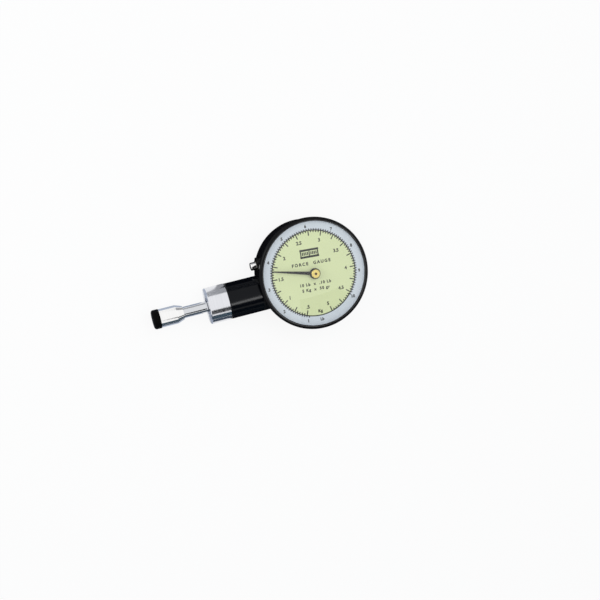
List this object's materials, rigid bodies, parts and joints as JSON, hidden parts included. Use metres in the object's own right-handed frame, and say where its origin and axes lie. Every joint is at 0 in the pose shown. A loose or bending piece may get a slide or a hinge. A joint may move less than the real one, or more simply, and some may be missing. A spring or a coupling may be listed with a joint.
{
  "type": "dial force gauge",
  "caption": "Hand-held push force gauge: round case with a dial and pointer, spring barrel, collar, polished plunger rod and rubber tip, with zero-setting bezel and peak-hold reset.",
  "frame": {"origin": "centre of the back cover outer face, on the pointer axis", "axes": "+X along the barrel away from the tip, +Y towards the top of the dial, +Z out of the dial"},
  "size_m": [0.1194, 0.0608, 0.0273],
  "materials": {
    "black_metal": "satin black",
    "bezel_black": "gloss black",
    "collar_alu": "turned, clear",
    "rod_steel": "ground and plated",
    "holder_nickel": "bright nickel",
    "tip_rubber": "moulded",
    "dial_print": "printed matt",
    "clear_window": "clear acrylic, polished",
    "pointer_black": "matt",
    "brass": "turned",
    "bronze": "bearing bronze",
    "steel": "ground",
    "spring_steel": "oiled",
    "screw_steel": "blackened",
    "seal_rubber": "nitrile",
    "shoe_pad": "friction pad",
    "button_nickel": "bright nickel"
  },
  "bodies": {
    "case": {"case_body": "black_metal", "back_cover": "black_metal", "cover_screws": "screw_steel", "barrel_tube": "black_metal", "end_collar": "collar_alu", "front_bush": "steel", "rear_bush": "bronze", "front_plate": "brass", "rear_plate": "brass", "plate_pillars": "steel", "pillar_screws": "steel", "movement_screws": "steel", "arbor_bushes": "bronze", "rack_guide": "brass", "guide_screws": "steel", "hairspring": "spring_steel", "hairspring_stud": "brass", "lever_post": "steel", "lever_clip": "spring_steel", "spring_post": "steel", "button_bush": "black_metal", "bezel_snap_ring": "spring_steel", "main_spring": "spring_steel", "brake_spring": "spring_steel", "reset_spring": "spring_steel"},
    "bezel": {"bezel_ring": "bezel_black", "dial_plate": "dial_print", "crystal_seal": "seal_rubber", "crystal": "clear_window"},
    "pointer_train": {"centre_arbor": "steel", "brake_wheel": "brass", "pointer": "pointer_black", "pointer_hub": "brass"},
    "wheel_train": {"rack_pinion": "steel", "gear_wheel": "brass"},
    "plunger": {"plunger_rod": "rod_steel", "rack": "steel", "rack_pins": "steel", "spring_seat": "steel", "seat_clip": "spring_steel", "tip_holder": "holder_nickel", "rubber_tip": "tip_rubber"},
    "button": {"reset_button": "button_nickel", "button_clip": "spring_steel"},
    "lever": {"brake_lever": "steel", "brake_shoe": "shoe_pad"}
  },
  "joints": [
    {"name": "plunger_slide", "type": "slide", "parent": "case", "child": "plunger", "axis": [1, 0, 0], "range_m": [-0.00331, 0.00669], "stiffness_N_per_m": 4905, "springref_m": -0.00331, "deforming": ["main_spring"]},
    {"name": "wheel_spin", "type": "hinge", "parent": "case", "child": "wheel_train", "pos_m": [-0.0103, -0.0014, 0.0103], "axis": [0, 0, 1], "range_deg": [-76, 152]},
    {"name": "pointer_spin", "type": "hinge", "parent": "case", "child": "pointer_train", "pos_m": [0, 0, 0.0103], "axis": [0, 0, 1], "range_deg": [-242, 121], "deforming": ["hairspring"]},
    {"name": "bezel_turn", "type": "hinge", "parent": "case", "child": "bezel", "pos_m": [0, 0, 0.0213], "axis": [0, 0, 1], "continuous": true},
    {"name": "reset_button", "type": "slide", "parent": "case", "child": "button", "axis": [1, 0, 0], "range_m": [0, 0.0015], "stiffness_N_per_m": 1500, "springref_m": -0.001, "deforming": ["reset_spring"]},
    {"name": "lever_swing", "type": "hinge", "parent": "case", "child": "lever", "pos_m": [-0.009, 0.0165, 0.0071], "axis": [0, 0, 1], "range_deg": [0, 13.4], "deforming": ["brake_spring"]}
  ],
  "couplings": [
    {"joint": "wheel_spin", "follows": "plunger_slide", "rad_per_m": 392.7},
    {"joint": "pointer_spin", "follows": "plunger_slide", "rad_per_m": -628.32},
    {"joint": "lever_swing", "follows": "reset_button", "rad_per_m": 153.85}
  ]
}
